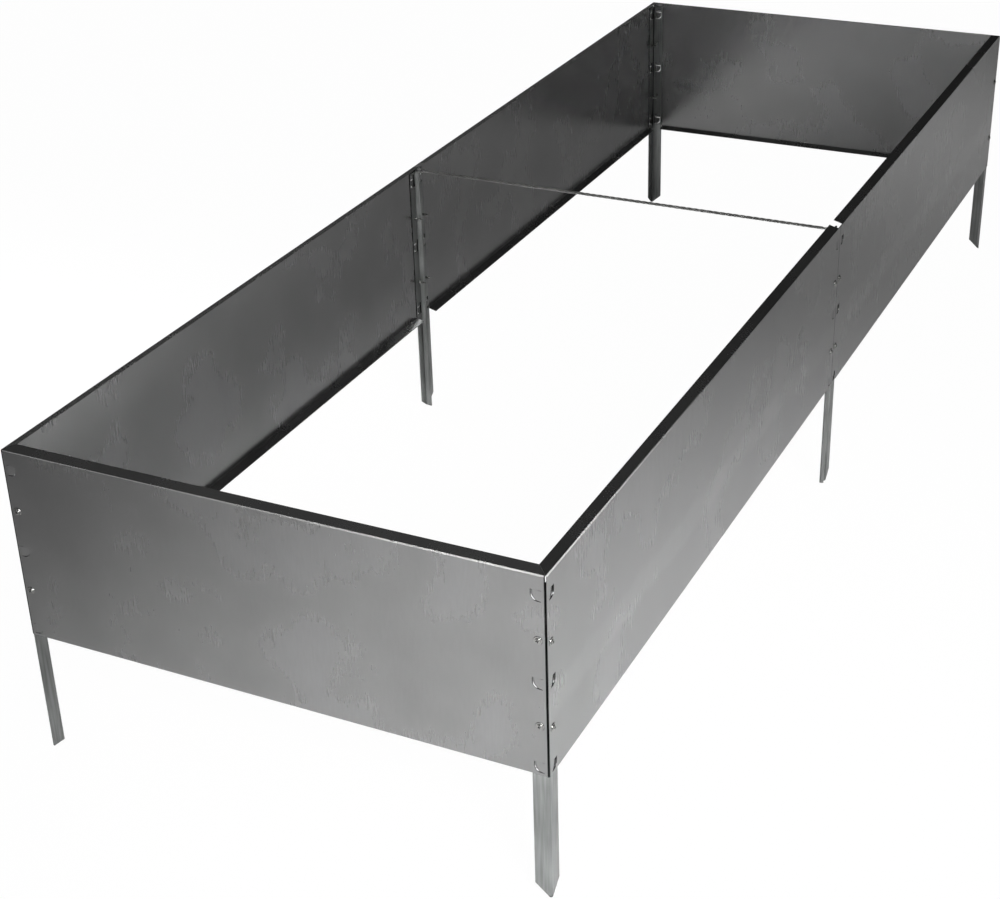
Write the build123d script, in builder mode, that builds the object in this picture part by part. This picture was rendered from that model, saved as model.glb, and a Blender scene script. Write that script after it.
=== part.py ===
"""Garden-bed frame of folded zinc-coated sheet on ground stakes.

Six folded panels make an open box without a floor. Each panel end sets three lanced tabs into the slots
of a stake and is held to it by two screws. A twisted wire tie, dropped over a peg on each mid stake,
keeps the long walls from spreading. Millimetres, +Z up, +Y along the bed, +X to the right. The origin is
under the middle of the bed, level with the points of the stakes.
"""
from build123d import *
from dataclasses import dataclass
from math import asin, atan2, cos, degrees, hypot, pi, radians, sin
import os

# The bed: outside length and width, and a panel's height from fold to fold
bed_length = 2000.0
bed_width = 680.0
panel_height = 250.0

# Folded panels: the flanges stand open past square, so that flat-packed panels nest
sheet = 0.8
bend_radius = 1.0
flange_width = 14.0
flange_opening = 16.0
corner_relief = 1.6
seam_gap = 1.0
mitre_gap = 0.2
seam_notch = 10.0
flange_clearance = 1.5

# Stakes: corner angles, and mid strips with a pressed rib that ends above the shoulder as a peg
stake_reach = 166.0
stake_drop = 8.0
stake_sheet = 1.2
stake_leg = 20.0
stake_bend = 0.8
stake_point = 15.0
stake_tip = 3.0
mid_width = 40.0
rib_width = 9.0
rib_depth = 9.0
rib_radius = 2.0
peg_rise = 6.5
peg_back = 5.2

# Tabs and screws, from the corner or seam and from the lower fold
lower_inset = 10.0
upper_inset = 25.0
tab_hinge = 6.2
tab_reach = 11.6
tab_height = 12.5
tab_round = 8.0
tab_angle = 8.0
tab_gap = 0.5
slot_height = 20.0
slot_clearance = 0.4
screw_inset = 10.5
screw_stagger = 5.0
hole_diameter = 4.5
screw_diameter = 4.2
screw_length = 16.0
screw_taper = 5.0
screw_end = 0.6
head_diameter = 10.5
head_rim = 0.8
head_height = 2.3
dome_diameter = 5.6
fastener_sides = 10

# Cross tie: two strands twisted together, opened into an eye at each end
wire = 2.0
strand_gap = 0.3
twist_lay = 21.0
twist_steps = 6
wire_sides = 6
eye_radius = 7.0
eye_gap = 0.8
eye_neck = 16.0
neck_radius = 6.0
tie_gap = 0.3

# Places that follow from the sizes above
UP = Vector(0, 0, 1)
half_width = bed_width / 2
half_length = bed_length / 2
outer_bend = bend_radius + sheet
flange_reach = flange_width * cos(radians(flange_opening))
flange_rise = flange_width * sin(radians(flange_opening))
shoulder = panel_height - stake_drop
fixing_pitch = (panel_height - lower_inset - upper_inset) / 4
tab_heights = [lower_inset + 2 * k * fixing_pitch for k in range(3)]
screw_heights = [lower_inset + (2 * k + 1) * fixing_pitch for k in range(2)]
slot_start = tab_hinge - slot_clearance
slot_end = tab_hinge + tab_reach * cos(radians(tab_angle)) + slot_clearance
corner_edge = sheet + stake_leg
mid_edge = mid_width / 2
through_all = 2 * rib_depth
trim_height = 2 * flange_rise
trim_depth = 2 * flange_reach

os.makedirs("parts", exist_ok=True)


def save(builder, name):
    builder.part.label = name
    export_step(builder.part, f"parts/{name}.step")


def wall_face(x, y, along):
    """Outer face of a wall: X along it, Y up from the lower fold, Z out of the bed."""
    return Plane((x, y, stake_reach), x_dir=along, z_dir=along.cross(UP))


east, north = Vector(1, 0, 0), Vector(0, 1, 0)
walls = {
    "front_end": (wall_face(-half_width, -half_length, east), bed_width, "front_left", "front_right"),
    "right_front": (wall_face(half_width, -half_length, north), half_length, "front_right", "right_mid"),
    "right_rear": (wall_face(half_width, 0, north), half_length, "right_mid", "rear_right"),
    "rear_end": (wall_face(half_width, half_length, -east), bed_width, "rear_right", "rear_left"),
    "left_rear": (wall_face(-half_width, half_length, -north), half_length, "rear_left", "left_mid"),
    "left_front": (wall_face(-half_width, 0, -north), half_length, "left_mid", "front_left"),
}


@dataclass
class PanelEnd:
    """One end of a panel. On its plane X runs into the panel from the corner or seam, and Y runs up.
    The plane's Z, times side, points out of the bed."""

    wall: str
    stake: str
    plane: Plane
    side: int

    @property
    def at_corner(self):
        return "mid" not in self.stake

    @property
    def relief(self):
        return corner_relief if self.at_corner else seam_gap / 2

    @property
    def screw_places(self):
        """The side panels' screws sit lower, so that the points of two walls pass at a corner."""
        drop = 0 if "end" in self.wall else screw_stagger
        return [(screw_inset, height - drop) for height in screw_heights]

    def plan(self, height):
        """Level plane at a height above the lower fold: X into the panel, Y into the bed."""
        level = self.plane.from_local_coords((0, height, 0))
        return Plane(level, x_dir=self.plane.x_dir, z_dir=UP * self.side)


def panel_ends(name):
    face, length, first, last = walls[name]
    far = face.from_local_coords((length, 0, 0))
    return [
        PanelEnd(name, first, face, 1),
        PanelEnd(name, last, Plane(far, x_dir=-face.x_dir, z_dir=-face.z_dir), -1),
    ]


def draw_tab(height, gap):
    """D shape from the hinge line: square above, with a large round at the lower free corner."""
    low, high, free = height - tab_height / 2 - gap, height + tab_height / 2 + gap, tab_reach + gap
    with BuildLine() as outline:
        FilletPolyline((0, low), (free, low), (free, high), radius=tab_round)
        Polyline((free, high), (0, high), (0, low))
    make_face(outline.edges())


def trim_flanges(end):
    """Mitre the upper flange at a corner, or notch it at a seam; clear the lower flange of the stake."""
    with BuildSketch(end.plan(panel_height)) as upper:
        with BuildLine():
            if end.at_corner:
                Polyline((0, sheet), (sheet + mitre_gap, sheet), (trim_depth + mitre_gap, trim_depth),
                         (0, trim_depth), close=True)
            else:
                Polyline((0, sheet), (seam_notch, sheet), (seam_notch, trim_depth),
                         (0, trim_depth), close=True)
        make_face()
    extrude(upper.sketch, amount=trim_height, both=True, mode=Mode.SUBTRACT)
    cut_back = (corner_edge if end.at_corner else mid_edge) + flange_clearance
    with BuildSketch(end.plan(0)) as lower:
        with BuildLine():
            Polyline((0, sheet), (cut_back, sheet), (cut_back, trim_depth), (0, trim_depth), close=True)
        make_face()
    extrude(lower.sketch, amount=trim_height, both=True, mode=Mode.SUBTRACT)


def lance_tabs(end):
    """Cut the windows and screw holes, then put back each tab, bent into the bed about its hinge."""
    hinge = Plane(end.plane.location * Location((tab_hinge, 0, 0)))
    bent = Plane(hinge.location * Location((0, 0, 0), (0, end.side * tab_angle, 0)))
    with BuildSketch(hinge) as windows:
        for height in tab_heights:
            draw_tab(height, tab_gap)
    extrude(windows.sketch, amount=2 * sheet, both=True, mode=Mode.SUBTRACT)
    with BuildSketch(end.plane) as holes:
        with Locations(*end.screw_places):
            RegularPolygon(hole_diameter / 2, fastener_sides, major_radius=False)
    extrude(holes.sketch, amount=2 * sheet, both=True, mode=Mode.SUBTRACT)
    with BuildSketch(bent) as tabs:
        for height in tab_heights:
            draw_tab(height, 0)
    extrude(tabs.sketch, amount=-end.side * sheet)


for wall, (face, length, *_) in walls.items():
    start, finish = panel_ends(wall)
    section = Plane(face.from_local_coords((start.relief, 0, 0)), x_dir=-face.z_dir, z_dir=face.x_dir)
    with BuildPart() as panel:
        with BuildSketch(section):
            with BuildLine():
                FilletPolyline((flange_reach, panel_height + flange_rise), (0, panel_height), (0, 0),
                               (flange_reach, -flange_rise), radius=outer_bend)
                offset(amount=sheet, side=Side.LEFT)
            make_face()
        extrude(amount=length - start.relief - finish.relief)
        for end in (start, finish):
            trim_flanges(end)
            lance_tabs(end)
    save(panel, f"{wall}_panel")


def pierce_stake(end):
    """Slots that stand open above the tabs, screw holes, and one slope of the pointed foot."""
    with BuildSketch(end.plane) as openings:
        for height in tab_heights:
            slot_foot = height - tab_height / 2 - slot_clearance
            with Locations((slot_start, slot_foot)):
                Rectangle(slot_end - slot_start, slot_height, align=Align.MIN)
        with Locations(*end.screw_places):
            RegularPolygon(hole_diameter / 2, fastener_sides, major_radius=False)
    extrude(openings.sketch, amount=through_all, both=True, mode=Mode.SUBTRACT)
    tip, edge = (sheet + stake_tip, corner_edge) if end.at_corner else (stake_tip / 2, mid_edge)
    with BuildSketch(end.plane) as slope:
        with BuildLine():
            Polyline((tip, -stake_reach), (edge, stake_point - stake_reach),
                     (2 * edge, stake_point - stake_reach), (2 * edge, -stake_reach), close=True)
        make_face()
    extrude(slope.sketch, amount=through_all, both=True, mode=Mode.SUBTRACT)


ends = [end for wall in walls for end in panel_ends(wall)]
corner_stakes = {"front_left": (-1, -1), "front_right": (1, -1), "rear_left": (-1, 1), "rear_right": (1, 1)}
for name, (x_sign, y_sign) in corner_stakes.items():
    turn = x_sign * y_sign
    corner = (x_sign * (half_width - sheet), y_sign * (half_length - sheet), 0)
    with BuildPart() as stake:
        with BuildSketch(Plane(corner, x_dir=(-x_sign, 0, 0), z_dir=(0, 0, turn))):
            with BuildLine():
                FilletPolyline((stake_leg, 0), (0, 0), (0, stake_leg), radius=stake_bend + stake_sheet)
                offset(amount=stake_sheet, side=Side.RIGHT)
            make_face()
        extrude(amount=turn * (stake_reach + shoulder))
        for end in ends:
            if end.stake == name:
                pierce_stake(end)
    save(stake, f"{name}_stake")

for name, x_sign in {"left_mid": -1, "right_mid": 1}.items():
    plan = Plane((x_sign * (half_width - sheet), 0, 0), x_dir=(0, x_sign, 0), z_dir=UP)
    with BuildPart() as stake:
        with BuildSketch(plan):
            with BuildLine():
                FilletPolyline((-mid_edge, 0), (-rib_width / 2, 0), (0, rib_depth), (rib_width / 2, 0),
                               (mid_edge, 0), radius=rib_radius)
                offset(amount=stake_sheet, side=Side.LEFT)
            make_face()
        extrude(amount=stake_reach + shoulder + peg_rise)
        with BuildSketch(plan.offset(stake_reach + shoulder)):
            Rectangle(mid_width, peg_back, align=(Align.CENTER, Align.MIN))
        extrude(amount=peg_rise, mode=Mode.SUBTRACT)
        for end in ends:
            if end.stake == name:
                pierce_stake(end)
    save(stake, f"{name}_stake")

# Screws and their holes are drawn with few sides, since there are many of them and they are small
dome_inset = (head_diameter - dome_diameter) / 2
point_inset = (screw_diameter - screw_end) / 2
for end in ends:
    outward = end.plane.z_dir * end.side
    with BuildPart() as screws:
        for place in end.screw_places:
            seat = Plane(end.plane.from_local_coords((*place, 0)), x_dir=UP, z_dir=outward)
            axis = Axis(seat.origin, outward)
            with BuildSketch(seat):
                RegularPolygon(head_diameter / 2, fastener_sides)
            extrude(amount=head_height)
            crown = faces(Select.LAST).sort_by(axis)[-1]
            chamfer(crown.edges(), dome_inset, head_height - head_rim, reference=crown)
            with BuildSketch(seat):
                RegularPolygon(screw_diameter / 2, fastener_sides)
            extrude(amount=-screw_length)
            point = faces(Select.LAST).sort_by(axis)[0]
            chamfer(point.edges(), point_inset, screw_taper, reference=point)
    save(screws, f"{end.wall}_screws_at_{end.stake}")

# The twist runs level across the bed, on the shoulders of the mid stakes
tie_height = stake_reach + shoulder + tie_gap + wire / 2
strand_offset = (wire + strand_gap) / 2
eye_centre = half_width - sheet - eye_gap - wire / 2 - eye_radius
twist_end = eye_centre - eye_neck
turns = round(2 * twist_end / twist_lay)
stations = turns * twist_steps

for name, phase in {"a": 0, "b": pi}.items():
    with BuildPart() as strand:
        for station in range(stations + 1):
            share = station / stations
            angle = 2 * pi * turns * share + phase
            swing = Vector(0, cos(angle), sin(angle)) * strand_offset
            centre = Vector(twist_end * (2 * share - 1), 0, tie_height) + swing
            with BuildSketch(Plane(centre, x_dir=(0, 1, 0), z_dir=(1, 0, 0))):
                RegularPolygon(wire / 2, wire_sides)
        loft(ruled=True, clean=False)
    save(strand, f"tie_strand_{name}")

# Each eye leaves the twist on two small arcs and runs straight onto the ring
neck_height = strand_offset + neck_radius
neck_span = hypot(eye_neck, neck_height)
lean = asin((eye_radius + neck_radius) / neck_span) - atan2(neck_height, eye_neck)
neck_out = (neck_radius * sin(lean), neck_height - neck_radius * cos(lean))
ring_in = (eye_neck - eye_radius * sin(lean), eye_radius * cos(lean))
for name, x_sign in {"left": -1, "right": 1}.items():
    level = Plane((x_sign * twist_end, 0, tie_height), x_dir=(x_sign, 0, 0), z_dir=UP)
    with BuildPart() as eye:
        with BuildLine(level) as path:
            neck = CenterArc((0, neck_height), neck_radius, -90, degrees(lean))
            Line(neck_out, ring_in)
            ThreePointArc(ring_in, (eye_neck + eye_radius, 0), (ring_in[0], -ring_in[1]))
            Line((ring_in[0], -ring_in[1]), (neck_out[0], -neck_out[1]))
            CenterArc((0, -neck_height), neck_radius, 90, -degrees(lean))
        with BuildSketch(Plane(neck @ 0, x_dir=(0, 1, 0), z_dir=(x_sign, 0, 0))) as section:
            RegularPolygon(wire / 2, wire_sides)
        sweep(section.sketch, path=path.wires()[0])
    save(eye, f"tie_{name}_eye")
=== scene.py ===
from math import asin, atan2, cos, hypot, pi, radians, sin

import bpy
from mathutils import Matrix, Vector


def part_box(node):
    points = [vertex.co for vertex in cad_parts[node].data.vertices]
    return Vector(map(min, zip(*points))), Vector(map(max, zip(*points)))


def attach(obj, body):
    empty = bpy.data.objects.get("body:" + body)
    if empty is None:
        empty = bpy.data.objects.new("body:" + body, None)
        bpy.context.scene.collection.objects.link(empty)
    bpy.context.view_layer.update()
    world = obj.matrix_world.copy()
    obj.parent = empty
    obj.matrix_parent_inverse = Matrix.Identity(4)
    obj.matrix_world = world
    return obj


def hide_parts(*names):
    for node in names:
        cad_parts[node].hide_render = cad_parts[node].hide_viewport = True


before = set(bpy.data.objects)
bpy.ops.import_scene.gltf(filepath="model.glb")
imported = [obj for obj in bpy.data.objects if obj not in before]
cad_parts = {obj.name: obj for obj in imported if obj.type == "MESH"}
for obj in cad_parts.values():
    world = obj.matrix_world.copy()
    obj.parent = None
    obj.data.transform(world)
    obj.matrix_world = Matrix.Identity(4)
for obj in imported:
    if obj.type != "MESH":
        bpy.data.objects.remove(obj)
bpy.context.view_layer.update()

# Folded panels
# Six channels of 0.8 mm hot-dip galvanised sheet, bent on a press brake and lanced near their ends.
# Their tabs sit in the stakes' slots, and two screws hold each end. The CAD nodes stay, with a finish.
MM = 0.001
side_face = 340.0 * MM
end_face = 1000.0 * MM
fold_level = 416.0 * MM
half_sheet = 0.4 * MM


def linear(hex_colour):
    """Linear RGBA of an sRGB hex colour."""
    channels = [int(hex_colour[k:k + 2], 16) / 255 for k in (1, 3, 5)]
    return [c / 12.92 if c <= 0.04045 else ((c + 0.055) / 1.055) ** 2.4 for c in channels] + [1.0]


def add_node(tree, kind, inputs=None, **settings):
    """Add a node with its settings. An input is given a value, or the output socket that feeds it."""
    node = tree.nodes.new(kind)
    for name, value in settings.items():
        setattr(node, name, value)
    for key, value in (inputs or {}).items():
        socket = node.inputs[key]
        if isinstance(value, bpy.types.NodeSocket):
            tree.links.new(value, socket)
        else:
            socket.default_value = value
    return node


def maths(tree, operation, *terms):
    """The result of a Math node on its terms, which are numbers or output sockets."""
    return add_node(tree, "ShaderNodeMath", dict(enumerate(terms)), operation=operation).outputs[0]


def zinc_coat(name, dark, light, crevice_shade, roughness, patch_mm, dab_mm, dab_run, dab_share, wave_mm, crevice_mm):
    """Zinc on steel: cloudy patches, dabs drawn out along Z, slow waves, and painted shade where it is closed
    in.
    """
    material = bpy.data.materials.new(name)
    material.use_nodes = True
    tree = material.node_tree
    surface = tree.nodes["Principled BSDF"]
    surface.inputs["Metallic"].default_value = 1.0
    place = add_node(tree, "ShaderNodeTexCoord").outputs["Object"]
    patches = add_node(tree, "ShaderNodeTexNoise", {
        "Vector": place, "Scale": 1 / (patch_mm * MM), "Detail": 2.0, "Roughness": 0.45})
    drawn = add_node(tree, "ShaderNodeMapping", {"Vector": place, "Scale": (1.0, 1.0, 1 / dab_run)})
    dabs = add_node(tree, "ShaderNodeTexNoise", {
        "Vector": drawn.outputs["Vector"], "Scale": 1 / (dab_mm * MM), "Detail": 1.0})
    mixed = add_node(tree, "ShaderNodeMix", {
        "Factor": dab_share, "A": patches.outputs["Fac"], "B": dabs.outputs["Fac"]}, data_type="FLOAT")
    spread = add_node(tree, "ShaderNodeMapRange", {
        "Value": mixed.outputs["Result"], "From Min": 0.28, "From Max": 0.72})
    tone = add_node(tree, "ShaderNodeMix", {
        "Factor": spread.outputs["Result"], "A": linear(dark), "B": linear(light)}, data_type="RGBA")
    # Painted shade: where ambient occlusion finds the surface closed in, the base colour goes to the dark shade
    # colour.
    closed_in = add_node(tree, "ShaderNodeAmbientOcclusion", {"Distance": crevice_mm * MM}, samples=8)
    open_share = add_node(tree, "ShaderNodeMapRange", {
        "Value": closed_in.outputs["AO"], "From Min": 0.5, "From Max": 0.9})
    crevice_shaded = add_node(tree, "ShaderNodeMix", {
        "Factor": open_share.outputs["Result"], "A": linear(crevice_shade), "B": tone.outputs["Result"]},
        data_type="RGBA")
    tree.links.new(crevice_shaded.outputs["Result"], surface.inputs["Base Color"])
    roughness_swing = 0.015
    gloss = add_node(tree, "ShaderNodeMapRange", {
        "Value": mixed.outputs["Result"], "From Min": 0.3, "From Max": 0.7,
        "To Min": roughness - roughness_swing, "To Max": roughness + roughness_swing})
    tree.links.new(gloss.outputs["Result"], surface.inputs["Roughness"])
    waves = add_node(tree, "ShaderNodeTexNoise", {
        "Vector": place, "Scale": 1 / (wave_mm * MM), "Detail": 1.0})
    sway = add_node(tree, "ShaderNodeBump", {
        "Height": waves.outputs["Fac"], "Strength": 1.0, "Distance": 0.6 * MM})
    fine = add_node(tree, "ShaderNodeBump", {
        "Height": dabs.outputs["Fac"], "Normal": sway.outputs["Normal"], "Strength": 0.1,
        "Distance": 0.004 * MM})
    tree.links.new(fine.outputs["Normal"], surface.inputs["Normal"])
    return material


def axes_of(tree):
    """The place on the part: X, the distances from the middle across and along, and the height."""
    x, y, height = add_node(tree, "ShaderNodeSeparateXYZ", {
        "Vector": add_node(tree, "ShaderNodeTexCoord").outputs["Object"]}).outputs
    return x, maths(tree, "ABSOLUTE", x), maths(tree, "ABSOLUTE", y), height


def lay_over(tree, share, hex_colour):
    """Lay a colour over the surface's own, by a share from 0 to 1."""
    base = tree.nodes["Principled BSDF"].inputs["Base Color"]
    covered = add_node(tree, "ShaderNodeMix", {
        "Factor": share, "A": base.links[0].from_socket, "B": linear(hex_colour)}, data_type="RGBA")
    tree.links.new(covered.outputs["Result"], base)


def dress(ending, material):
    """Give a finish to every CAD node whose name has an ending."""
    for name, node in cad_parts.items():
        if name.endswith(ending):
            for slot in node.material_slots:
                slot.material = material


# To the eye: a dull mid grey that mirrors the floor softly, with clouds as wide as a hand and a faint
# upright grain.
panel_zinc = zinc_coat(
    "galvanised_sheet_zinc", dark="#8f8f8f", light="#9d9d9d", crevice_shade="#0e0e0e", roughness=0.27,
    patch_mm=110.0, dab_mm=2.8, dab_run=6.0, dab_share=0.18, wave_mm=200.0, crevice_mm=2.0)
tree = panel_zinc.node_tree
surface = tree.nodes["Principled BSDF"]
place = add_node(tree, "ShaderNodeTexCoord").outputs["Object"]
across, side_out, end_out, height = axes_of(tree)

# Dents of the press brake and of handling, in the hand's breadth under the upper fold.
knocked = add_node(tree, "ShaderNodeMapping", {"Vector": place, "Scale": (1.0, 1.0, 0.55)})
dents = add_node(tree, "ShaderNodeTexNoise", {
    "Vector": knocked.outputs["Vector"], "Scale": 1 / (20 * MM), "Detail": 1.0, "Distortion": 0.4})
dent_zone = add_node(tree, "ShaderNodeMapRange", {
    "Value": height, "From Min": 330 * MM, "From Max": 395 * MM, "To Max": 0.6},
    interpolation_type="SMOOTHSTEP")
dented = add_node(tree, "ShaderNodeBump", {
    "Height": dents.outputs["Fac"], "Strength": dent_zone.outputs["Result"], "Distance": 0.5 * MM,
    "Normal": surface.inputs["Normal"].links[0].from_socket})
tree.links.new(dented.outputs["Normal"], surface.inputs["Normal"])

# A painted reflection: a slightly paler band runs along the outside of the side panels, with a wandering edge.
reflection_band_level = 270 * MM
reflection_band_wander = 30 * MM
reflection_band_gain = 0.1
wander = add_node(tree, "ShaderNodeTexNoise", {"Vector": place, "Scale": 1 / (70 * MM), "Detail": 2.0})
strayed = maths(tree, "MULTIPLY_ADD", wander.outputs["Fac"], reflection_band_wander, height)
off_reflection_band = maths(tree, "ABSOLUTE", maths(tree, "SUBTRACT", strayed, reflection_band_level))
outside = maths(tree, "GREATER_THAN", side_out, side_face - half_sheet)
reflection_band = add_node(tree, "ShaderNodeMapRange", {
    "Value": off_reflection_band, "From Min": 12 * MM, "From Max": 24 * MM,
    "To Min": maths(tree, "MULTIPLY_ADD", outside, reflection_band_gain, 1.0), "To Max": 1.0})
reflection_banded = add_node(tree, "ShaderNodeVectorMath", {
    0: surface.inputs["Base Color"].links[0].from_socket, "Scale": reflection_band.outputs["Result"]},
    operation="SCALE")
tree.links.new(reflection_banded.outputs["Vector"], surface.inputs["Base Color"])

# A painted highlight on the outside of the upper bend, most of all near the right corners: a pale, matt line.
bend_depth = 1.0 * MM
bend_drop = 1.4 * MM
outer = maths(tree, "MAXIMUM", maths(tree, "GREATER_THAN", side_out, side_face - bend_depth),
              maths(tree, "GREATER_THAN", end_out, end_face - bend_depth))
on_bend = maths(tree, "MULTIPLY", outer, maths(tree, "GREATER_THAN", height, fold_level - bend_drop))
by_end = add_node(tree, "ShaderNodeMapRange", {
    "Value": end_out, "From Min": 450 * MM, "From Max": 950 * MM}, interpolation_type="SMOOTHSTEP")
by_right = add_node(tree, "ShaderNodeMapRange", {
    "Value": across, "From Min": -220 * MM, "From Max": 320 * MM}, interpolation_type="SMOOTHSTEP")
near = maths(tree, "MULTIPLY", by_end.outputs["Result"], by_right.outputs["Result"])
bend_highlight = maths(tree, "MULTIPLY", on_bend, near)
lay_over(tree, bend_highlight, "#dadad8")
metal = add_node(tree, "ShaderNodeMapRange", {"Value": bend_highlight, "To Min": 1.0, "To Max": 0.4})
tree.links.new(metal.outputs["Result"], surface.inputs["Metallic"])

# Painted shade: the end panels' ends are dark at the corners, in the slit between the panels.
corner_slit_depth = 1.4 * MM
corner_slit_width = 2.8 * MM
corner_slit_shade = maths(tree, "MULTIPLY", maths(tree, "GREATER_THAN", end_out, end_face - corner_slit_depth),
              maths(tree, "GREATER_THAN", side_out, side_face - corner_slit_width))
lay_over(tree, corner_slit_shade, "#1c1c1c")
dress("_panel", panel_zinc)

# Stakes
# Corner angles and ribbed mid strips of 1.2 mm galvanised sheet, pointed at the foot and slotted for the
# panels' tabs. The screws go through them. The CAD nodes stay, with a finish.
corner_reach = 3.2 * MM
panel_foot = 165.0 * MM

# To the eye: a little greener and duller than the panels, with stronger patches and long upright grain.
stake_zinc = zinc_coat(
    "galvanised_stake_zinc", dark="#6c6e6d", light="#a6a8a7", crevice_shade="#101010", roughness=0.33,
    patch_mm=70.0, dab_mm=3.2, dab_run=18.0, dab_share=0.45, wave_mm=90.0, crevice_mm=3.0)
tree = stake_zinc.node_tree
_, side_out, end_out, height = axes_of(tree)

# Painted shade: the bend of a corner stake shows between two panels and is painted near black there.
corner = maths(tree, "MULTIPLY", maths(tree, "GREATER_THAN", side_out, side_face - corner_reach),
               maths(tree, "GREATER_THAN", end_out, end_face - corner_reach))
stake_slit_shade = maths(tree, "MULTIPLY", corner, maths(tree, "GREATER_THAN", height, panel_foot))
lay_over(tree, stake_slit_shade, "#0a0a0a")
dress("_stake", stake_zinc)

# Screws
# Twenty-four self-tapping sheet screws of 4.2 mm, bright zinc plated, with a washer head, a low dome and a
# cross recess. Two go through each panel end into the stake behind it.
washer_taper = 0.9
point_showing = 0.9
point_neck = 0.95
cad_head_height = 2.3 * MM
screw_spacing = 107.5 * MM

# To the eye: brighter and glossier than the sheets, with painted shade as dark lines in the recess and round
# the washer.
screw_zinc = zinc_coat(
    "bright_zinc_plate", dark="#8d8d8b", light="#b4b4b2", crevice_shade="#0c0c0c", roughness=0.24,
    patch_mm=8.0, dab_mm=0.6, dab_run=1.0, dab_share=0.3, wave_mm=20.0, crevice_mm=1.6)


def new_group(name, inputs):
    """A geometry node group with named inputs. Gives the group, its input node and its sockets' identifiers."""
    group = bpy.data.node_groups.new(name, "GeometryNodeTree")
    group.interface.new_socket("Geometry", in_out="OUTPUT", socket_type="NodeSocketGeometry")
    group.interface.new_socket("Geometry", in_out="INPUT", socket_type="NodeSocketGeometry")
    keys = {label: group.interface.new_socket(label, in_out="INPUT", socket_type=kind).identifier
            for label, kind in inputs.items()}
    return group, add_node(group, "NodeGroupInput").outputs, keys


def finish_group(group, geometry, material):
    """End a group: real geometry, with its material set."""
    real = add_node(group, "GeometryNodeRealizeInstances", {"Geometry": geometry})
    coated = add_node(group, "GeometryNodeSetMaterial", {
        "Geometry": real.outputs["Geometry"], "Material": material})
    add_node(group, "NodeGroupOutput", {"Geometry": coated.outputs["Geometry"]})


def grow(name, data, group, keys, values):
    """Run a geometry node group on some data with its inputs set, and keep the result as a plain mesh."""
    source = bpy.data.objects.new(name + "_source", data)
    bpy.context.scene.collection.objects.link(source)
    modifier = source.modifiers.new(name, "NODES")
    modifier.node_group = group
    for label, value in values.items():
        modifier[keys[label]] = value
    evaluated = source.evaluated_get(bpy.context.evaluated_depsgraph_get())
    mesh = bpy.data.meshes.new_from_object(evaluated)
    mesh.name = name
    source.modifiers.clear()
    bpy.data.objects.remove(source)
    piece = bpy.data.objects.new(name, mesh)
    bpy.context.scene.collection.objects.link(piece)
    return piece


def moved(group, geometry, level, **change):
    """Geometry set at a level along the screw's axis."""
    seat = add_node(group, "ShaderNodeCombineXYZ", {"Z": level})
    return add_node(group, "GeometryNodeTransform", {
        "Geometry": geometry, "Translation": seat.outputs[0], **change}).outputs["Geometry"]


length_inputs = ("Washer Radius", "Washer Thickness", "Dome Radius", "Dome Height", "Recess Width",
                 "Recess Span", "Recess Depth", "Core Radius", "Thread Height", "Shank Length",
                 "Point Length", "Point Radius")
screw_group, given, screw_keys = new_group("sheet_screws", {
    **{label: "NodeSocketFloat" for label in length_inputs},
    "Thread Turns": "NodeSocketFloat", "Spin Seed": "NodeSocketInt", "Finish": "NodeSocketMaterial"})

# Head: a tapered washer under a flattened ball, with two crossed bars cut out of the ball.
washer = add_node(screw_group, "GeometryNodeMeshCone", {
    "Vertices": 32, "Radius Top": maths(screw_group, "MULTIPLY", given["Washer Radius"], washer_taper),
    "Radius Bottom": given["Washer Radius"], "Depth": given["Washer Thickness"]})
ball = add_node(screw_group, "GeometryNodeMeshUVSphere", {"Segments": 28, "Rings": 14, "Radius": 1.0})
dome_shape = add_node(screw_group, "ShaderNodeCombineXYZ", {
    "X": given["Dome Radius"], "Y": given["Dome Radius"], "Z": given["Dome Height"]})
dome = moved(screw_group, ball.outputs["Mesh"], given["Washer Thickness"], Scale=dome_shape.outputs[0])
recessed = add_node(screw_group, "GeometryNodeMeshBoolean", {"Mesh 1": dome},
                    operation="DIFFERENCE", solver="EXACT")
bar_depth = maths(screw_group, "MULTIPLY", given["Recess Depth"], 2.0)
dome_top = maths(screw_group, "ADD", given["Washer Thickness"], given["Dome Height"])
for width, span in (("Recess Width", "Recess Span"), ("Recess Span", "Recess Width")):
    bar_size = add_node(screw_group, "ShaderNodeCombineXYZ", {
        "X": given[width], "Y": given[span], "Z": bar_depth})
    bar = add_node(screw_group, "GeometryNodeMeshCube", {"Size": bar_size.outputs[0]})
    screw_group.links.new(moved(screw_group, bar.outputs["Mesh"], dome_top), recessed.inputs["Mesh 2"])

# Body: a round core with a thread wound on it, and a point that starts inside the core.
shank = add_node(screw_group, "GeometryNodeMeshCone", {
    "Vertices": 16, "Radius Top": given["Core Radius"], "Radius Bottom": given["Core Radius"],
    "Depth": given["Shank Length"]})
shank_foot = maths(screw_group, "MULTIPLY", given["Shank Length"], -1.0)
point = add_node(screw_group, "GeometryNodeMeshCone", {
    "Vertices": 16, "Radius Top": maths(screw_group, "MULTIPLY", given["Core Radius"], point_neck),
    "Radius Bottom": given["Point Radius"], "Depth": given["Point Length"]})
point_foot = maths(screw_group, "SUBTRACT", shank_foot,
                   maths(screw_group, "MULTIPLY", given["Point Length"], point_showing))
coil = add_node(screw_group, "GeometryNodeCurveSpiral", {
    "Resolution": 16, "Rotations": given["Thread Turns"], "Start Radius": given["Core Radius"],
    "End Radius": given["Core Radius"], "Height": given["Shank Length"]})
ridge = add_node(screw_group, "GeometryNodeCurvePrimitiveCircle", {
    "Resolution": 4, "Radius": given["Thread Height"]}, mode="RADIUS")
thread = add_node(screw_group, "GeometryNodeCurveToMesh", {
    "Curve": coil.outputs["Curve"], "Profile Curve": ridge.outputs["Curve"], "Fill Caps": True})
screw = add_node(screw_group, "GeometryNodeJoinGeometry")
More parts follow.
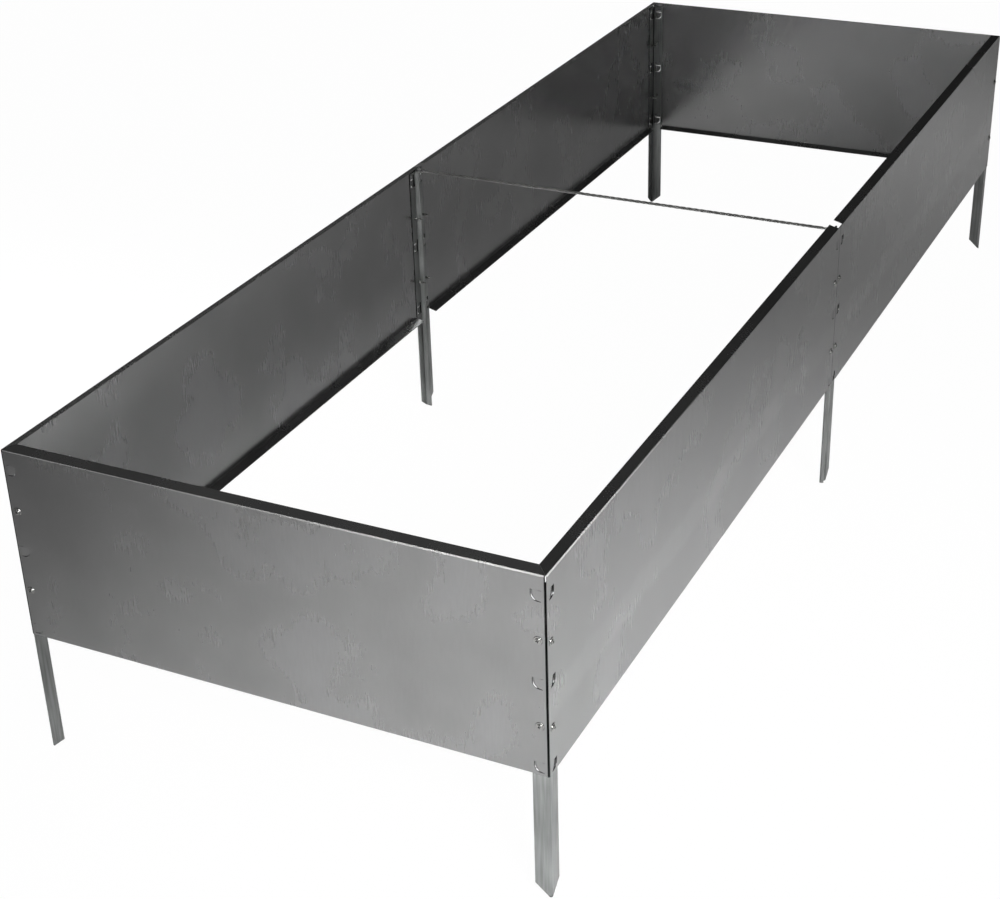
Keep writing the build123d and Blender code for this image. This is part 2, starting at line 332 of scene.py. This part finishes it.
for part in (washer.outputs["Mesh"], recessed.outputs["Mesh"],
             moved(screw_group, shank.outputs["Mesh"], shank_foot),
             moved(screw_group, point.outputs["Mesh"], point_foot),
             moved(screw_group, thread.outputs["Mesh"], shank_foot)):
    screw_group.links.new(part, screw.inputs["Geometry"])

# Each screw faces out of its wall and is driven to an angle of its own.
outward = add_node(screw_group, "GeometryNodeInputNamedAttribute", {"Name": "outward"},
                   data_type="FLOAT_VECTOR")
faced = add_node(screw_group, "FunctionNodeAlignRotationToVector", {
    "Vector": outward.outputs["Attribute"]}, axis="Z")
spin = add_node(screw_group, "FunctionNodeRandomValue", {2: 0.0, 3: pi / 2, "Seed": given["Spin Seed"]},
                data_type="FLOAT")
spun = add_node(screw_group, "FunctionNodeAxisAngleToRotation", {
    "Axis": (0.0, 0.0, 1.0), "Angle": spin.outputs[1]})
turned = add_node(screw_group, "FunctionNodeRotateRotation", {
    "Rotation": faced.outputs[0], "Rotate By": spun.outputs[0]}, rotation_space="LOCAL")
driven = add_node(screw_group, "GeometryNodeInstanceOnPoints", {
    "Points": given["Geometry"], "Instance": screw.outputs["Geometry"], "Rotation": turned.outputs[0]})
finish_group(screw_group, driven.outputs["Instances"], given["Finish"])

# The seats lie on the walls' outer faces, where the CAD screws' heads start.
wall_outward = {"front_end": Vector((0, -1, 0)), "rear_end": Vector((0, 1, 0)),
                "left": Vector((-1, 0, 0)), "right": Vector((1, 0, 0))}
screw_nodes = [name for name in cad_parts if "_screws_at_" in name]
seats, directions = [], []
for name in screw_nodes:
    out = next(way for wall, way in wall_outward.items() if name.startswith(wall))
    low, high = (Vector(corner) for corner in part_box(name))
    middle = (low + high) / 2
    reach = max(low.dot(out), high.dot(out)) - cad_head_height
    seat = middle + out * (reach - middle.dot(out))
    for step in (-0.5, 0.5):
        seats.append(seat + Vector((0, 0, step * screw_spacing)))
        directions.append(out)
seat_mesh = bpy.data.meshes.new("screw_seats")
seat_mesh.from_pydata(seats, [], [])
outwards = seat_mesh.attributes.new("outward", "FLOAT_VECTOR", "POINT")
for row, out in zip(outwards.data, directions):
    row.vector = out
screws = grow("sheet_screws", seat_mesh, screw_group, screw_keys, {
    "Washer Radius": 5.2 * MM, "Washer Thickness": 0.8 * MM, "Dome Radius": 3.3 * MM,
    "Dome Height": 1.45 * MM, "Recess Width": 1.0 * MM, "Recess Span": 4.2 * MM, "Recess Depth": 1.2 * MM,
    "Core Radius": 1.55 * MM, "Thread Height": 0.5 * MM, "Shank Length": 11.0 * MM,
    "Point Length": 4.9 * MM, "Point Radius": 0.3 * MM, "Thread Turns": 7.5, "Spin Seed": 7,
    "Finish": screw_zinc})
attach(screws, "bed")
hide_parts(*screw_nodes)

# Cross tie
# Two galvanised wires, each doubled into an eye at one end and twisted with the other to a lay of 42 mm.
# The eyes drop over the pegs of the two mid stakes, so that the long walls can't spread.
wire_radius = 0.87 * MM
strand_offset = 1.26 * MM
ring_radius = 7.0 * MM
neck_radius = 6.0 * MM
neck_length = 16.0 * MM
twist_lay = 42.0 * MM
twist_ease = 12.0 * MM
steps_per_turn = 24
neck_steps = 5
half_ring_steps = 16
eye_low, eye_high = (Vector(corner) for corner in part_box("tie_right_eye"))
ring_centre = eye_high.x - wire_radius - ring_radius
twist_end = ring_centre - neck_length
tie_level = (eye_low.z + eye_high.z) / 2
twist_length = 2 * twist_end
# The last quarter turn brings the other wire's strands to the level of the second eye.
turns = round((twist_length - twist_ease) / twist_lay) + 0.25

# To the eye: a pale grey wire whose twist shows by the dark lines between its strands, deepened by painted
# shade.
wire_zinc = zinc_coat(
    "drawn_wire_zinc", dark="#9e9e9c", light="#c8c8c6", crevice_shade="#1c1c1c", roughness=0.3,
    patch_mm=12.0, dab_mm=0.5, dab_run=1.0, dab_share=0.3, wave_mm=30.0, crevice_mm=0.6)


def turned_at(run):
    """Share of the whole twist at a run from its start: it eases in and out at the two eyes."""
    rate = 1 / (twist_length - twist_ease)
    if run < twist_ease:
        return rate * run * run / (2 * twist_ease)
    if run > twist_length - twist_ease:
        return 1 - turned_at(twist_length - run)
    return rate * (run - twist_ease / 2)


def strand(phase):
    """Points of one strand from the left eye to the right one."""
    count = round(turns * steps_per_turn)
    points = []
    for step in range(count + 1):
        run = twist_length * step / count
        angle = 2 * pi * turns * turned_at(run) + phase
        points.append(Vector((
            run - twist_end, strand_offset * cos(angle), tie_level + strand_offset * sin(angle))))
    return points


def eye_points():
    """Points round the right eye, from the strand at +Y to the one at -Y."""
    neck_height = strand_offset + neck_radius
    tangent = asin((ring_radius + neck_radius) / hypot(neck_length, neck_height))
    lean = tangent - atan2(neck_height, neck_length)
    points = []
    for step in range(1, neck_steps + 1):
        angle = lean * step / neck_steps
        points.append((twist_end + neck_radius * sin(angle), neck_height - neck_radius * cos(angle)))
    start = pi / 2 + lean
    for step in range(2 * half_ring_steps + 1):
        angle = start * (1 - step / half_ring_steps)
        points.append((ring_centre + ring_radius * cos(angle), ring_radius * sin(angle)))
    for x, y in points[neck_steps - 1::-1]:
        points.append((x, -y))
    return [Vector((x, y, tie_level)) for x, y in points]


plies = [strand(quarter * pi / 2) for quarter in range(4)]
right_eye = eye_points()
left_eye = [Vector((-p.x, p.y, p.z)) for p in reversed(right_eye)]
tie_path = bpy.data.curves.new("tie_path", "CURVE")
tie_path.dimensions = "3D"
for route in (plies[3] + right_eye + plies[1][::-1], plies[2][::-1] + left_eye + plies[0]):
    spline = tie_path.splines.new("POLY")
    spline.points.add(len(route) - 1)
    for row, spot in zip(spline.points, route):
        row.co = (*spot, 1.0)
wire_group, given, wire_keys = new_group("twisted_wire", {
    "Wire Radius": "NodeSocketFloat", "Wire Sides": "NodeSocketInt", "Finish": "NodeSocketMaterial"})
round_wire = add_node(wire_group, "GeometryNodeCurvePrimitiveCircle", {
    "Resolution": given["Wire Sides"], "Radius": given["Wire Radius"]}, mode="RADIUS")
drawn_wire = add_node(wire_group, "GeometryNodeCurveToMesh", {
    "Curve": given["Geometry"], "Profile Curve": round_wire.outputs["Curve"], "Fill Caps": True})
smooth_wire = add_node(wire_group, "GeometryNodeSetShadeSmooth", {"Geometry": drawn_wire.outputs["Mesh"]})
finish_group(wire_group, smooth_wire.outputs["Geometry"], given["Finish"])
tie = grow("cross_tie", tie_path, wire_group, wire_keys, {
    "Wire Radius": wire_radius, "Wire Sides": 10, "Finish": wire_zinc})
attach(tie, "tie")
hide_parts("tie_strand_a", "tie_strand_b", "tie_left_eye", "tie_right_eye")

# Floor
# A plain white studio floor, painted matt. It is white to the camera and only partly so where metal
# mirrors it, because the photographed walls mirror a floor that is darker than its white background.
floor_half = 30.0
camera_share = 0.985
mirror_share = 0.118
floor_mesh = bpy.data.meshes.new("floor")
floor_mesh.from_pydata(
    [(x * floor_half, y * floor_half, 0.0) for x, y in ((-1, -1), (1, -1), (1, 1), (-1, 1))],
    [], [(0, 1, 2, 3)])
floor = bpy.data.objects.new("floor", floor_mesh)
bpy.context.scene.collection.objects.link(floor)

# To the eye: even white without a seam, with the lamps' pools showing in the metal alone.
floor_paint = bpy.data.materials.new("white_floor_paint")
floor_paint.use_nodes = True
tree = floor_paint.node_tree
matt = tree.nodes["Principled BSDF"]
matt.inputs["Base Color"].default_value = linear("#e8e8e8")
matt.inputs["Roughness"].default_value = 0.9
matt.inputs["Specular IOR Level"].default_value = 0.1
ray = add_node(tree, "ShaderNodeLightPath").outputs
mirrored = maths(tree, "MAXIMUM", ray["Is Glossy Ray"], ray["Is Transmission Ray"])
seen = maths(tree, "MULTIPLY", ray["Is Camera Ray"], camera_share)
glow = add_node(tree, "ShaderNodeEmission", {"Color": linear("#ffffff"), "Strength": 1.0})
cover = add_node(tree, "ShaderNodeMixShader", {
    "Fac": maths(tree, "MULTIPLY_ADD", mirrored, mirror_share, seen),
    1: matt.outputs["BSDF"], 2: glow.outputs["Emission"]})
tree.links.new(cover.outputs["Shader"], tree.nodes["Material Output"].inputs["Surface"])
floor_mesh.materials.append(floor_paint)

# Studio
# A sky that is white at the horizon in front of the bed, dark behind it and dim overhead, and white to the
# camera. Soft boxes light the floor before the end panel, by the front right corner, by the rear right
# wall and left of the left walls, and a card stands at the front left.
front_right = (0.7, -0.7, 0.0)
world = bpy.data.worlds.new("studio")
bpy.context.scene.world = world
world.use_nodes = True
tree = world.node_tree
sky = tree.nodes["Background"]
direction = add_node(tree, "ShaderNodeTexCoord").outputs["Generated"]
height = add_node(tree, "ShaderNodeSeparateXYZ", {"Vector": direction}).outputs["Z"]
fade = add_node(tree, "ShaderNodeMapRange", {
    "Value": height, "From Min": 0.02, "From Max": 0.22, "To Min": 1.0, "To Max": 0.0},
    interpolation_type="SMOOTHSTEP")
facing = add_node(tree, "ShaderNodeVectorMath", {0: direction, 1: front_right}, operation="DOT_PRODUCT")
flagged = add_node(tree, "ShaderNodeMapRange", {
    "Value": facing.outputs["Value"], "From Min": -0.3, "From Max": 0.2, "To Min": 0.1},
    interpolation_type="SMOOTHSTEP")
overhead = add_node(tree, "ShaderNodeMapRange", {
    "Value": height, "From Min": 0.3, "From Max": 0.85, "To Min": 0.006, "To Max": 0.105})
lit = maths(tree, "MULTIPLY_ADD", fade.outputs["Result"], flagged.outputs["Result"],
            overhead.outputs["Result"])
eye = add_node(tree, "ShaderNodeLightPath").outputs["Is Camera Ray"]
tree.links.new(maths(tree, "MAXIMUM", lit, eye), sky.inputs["Strength"])
sky.inputs["Color"].default_value = linear("#ffffff")


def add_lamp(name, place, target, width, height, power, spread):
    """A soft box at a place, facing a target, whose light stays within an angle in degrees."""
    light = bpy.data.lights.new(name, "AREA")
    light.shape = "RECTANGLE"
    light.size = width
    light.size_y = height
    light.energy = power
    light.spread = radians(spread)
    lamp = bpy.data.objects.new(name, light)
    lamp.location = place
    lamp.rotation_euler = (Vector(target) - Vector(place)).to_track_quat("-Z", "Y").to_euler()
    lamp.visible_camera = False
    bpy.context.scene.collection.objects.link(lamp)


add_lamp("front_right_box", place=(2.01, -2.41, 1.63), target=(0.5, -0.81, 0.0),
         width=1.5, height=1.35, power=13.0, spread=32.6)
add_lamp("front_box", place=(0.45, -2.16, 1.81), target=(0.13, -1.97, 0.0),
         width=1.2, height=1.2, power=4.84, spread=34.4)
add_lamp("rear_box", place=(1.32, 1.42, 1.86), target=(0.89, 1.56, 0.0),
         width=0.9, height=0.9, power=1.42, spread=41.5)
add_lamp("left_box", place=(-1.7, -0.1, 1.8), target=(-1.5, -0.1, 0.0),
         width=0.7, height=1.8, power=8.0, spread=32.0)
add_lamp("front_left_card", place=(-2.2, -3.2, 2.6), target=(0.0, -0.9, 0.4),
         width=1.6, height=1.6, power=1.5, spread=60.0)

# Camera
# At the photograph's place and angle, above the front right corner. The place, the two directions and the
# lens come from a fit to the photograph's corners.
camera_place = (1.00784, -2.42384, 1.41428)
right = Vector((0.9003545, 0.4342110, -0.0286815))
ahead = Vector((-0.3940734, 0.7856210, -0.4769756))
camera_data = bpy.data.cameras.new("camera")
camera_data.sensor_fit = "HORIZONTAL"
camera_data.sensor_width = 36.0
camera_data.lens = 67.59
camera = bpy.data.objects.new("camera", camera_data)
turn = Matrix((right, right.cross(ahead), -ahead)).transposed()
camera.matrix_world = Matrix.Translation(camera_place) @ turn.to_4x4()
bpy.context.scene.collection.objects.link(camera)
bpy.context.scene.camera = camera
bpy.context.scene.view_settings.view_transform = "Standard"
